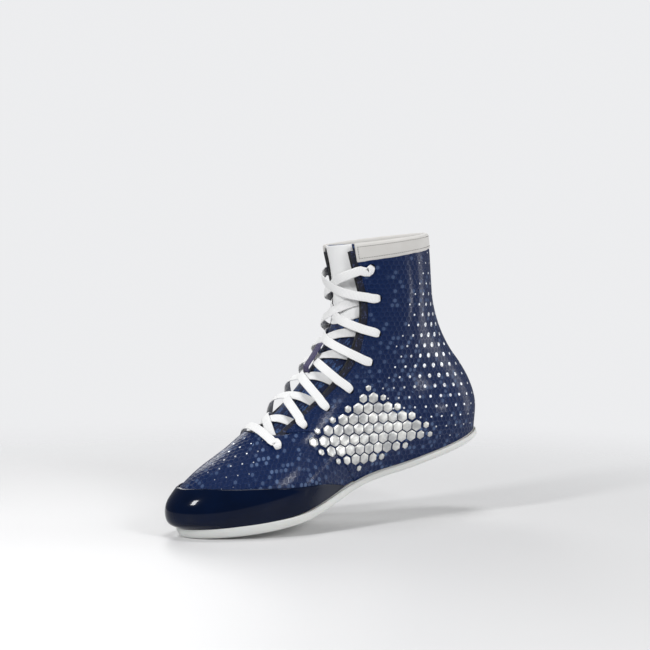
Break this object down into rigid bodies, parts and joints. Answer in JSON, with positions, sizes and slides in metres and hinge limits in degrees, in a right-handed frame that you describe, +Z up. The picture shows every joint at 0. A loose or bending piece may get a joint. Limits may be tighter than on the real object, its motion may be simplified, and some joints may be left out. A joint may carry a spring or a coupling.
{
  "type": "boxing boot",
  "caption": "Mid-height laced boxing boot with a thin flexible sole, wrap-up toe rand, mesh tongue, metallic side panels and a pale stitched collar; a right foot's boot.",
  "frame": {"origin": "on the floor, under the middle of the boot's length and width", "axes": "-X towards the toe, +X towards the heel, -Y towards the medial (big toe) side, +Z up"},
  "size_m": [0.2926, 0.1, 0.1893],
  "materials": {
    "coated": "coated textile, navy, satin gloss",
    "crease": "coated stretch textile, navy",
    "rand": "glossy moulded film, dark navy",
    "foil": "silver foil film",
    "rubber": "white rubber, fine matte",
    "foam": "moulded foam",
    "board": "fibre board",
    "mesh": "open mesh, navy",
    "lining": "black knitted lining",
    "collar": "off-white synthetic suede, stitched",
    "label": "plain white woven panel",
    "lace": "flat woven white lace",
    "keeper": "dark purple-navy webbing",
    "counter": "thermoplastic sheet",
    "tip": "clear white lace tip"
  },
  "bodies": {
    "foot": {"outsole": "rubber", "midsole": "foam", "lasting_board": "board", "sockliner": "lining", "toe_rand": "rand", "vamp_flex": "crease", "vamp_instep": "coated", "quarter_medial": "coated", "quarter_lateral": "coated", "quarter_flex_medial": "crease", "quarter_flex_lateral": "crease", "tendon_flex": "crease", "heel_counter": "counter", "heel_strip": "collar", "eyestay_medial": "mesh", "eyestay_lateral": "mesh", "lining_flex": "lining", "lining_foot": "lining", "lining_crease_medial": "lining", "lining_crease_lateral": "lining", "lining_tendon": "lining", "tongue_lower": "mesh", "tongue_flex": "mesh", "lace_keeper": "keeper", "foil_medial": "foil", "foil_lateral": "foil", "lace": "lace"},
    "forefoot": {"vamp_toe": "coated", "toe_puff": "counter", "lining_toe": "lining"},
    "shaft": {"shaft_medial": "coated", "shaft_lateral": "coated", "collar_band": "collar", "lining_shaft": "lining", "tongue_upper": "mesh", "tongue_label": "label", "lace_tip_medial": "tip", "lace_tip_lateral": "tip"}
  },
  "joints": [
    {"name": "ball_flex", "type": "hinge", "parent": "foot", "child": "forefoot", "pos_m": [-0.05615, 0, 0.006], "axis": [0, 1, 0], "range_deg": [0, 30], "stiffness_Nm_per_rad": 1, "deforming": ["outsole", "midsole", "lasting_board", "sockliner", "toe_rand", "vamp_flex", "lining_flex"]},
    {"name": "ankle_flex", "type": "hinge", "parent": "foot", "child": "shaft", "pos_m": [0.08185, 0, 0.088], "axis": [0, -1, 0], "range_deg": [-20, 15], "stiffness_Nm_per_rad": 0.8, "deforming": ["quarter_flex_medial", "quarter_flex_lateral", "tendon_flex", "lining_crease_medial", "lining_crease_lateral", "lining_tendon", "tongue_flex", "eyestay_medial", "eyestay_lateral", "heel_strip", "lace_keeper", "lace"]}
  ]
}
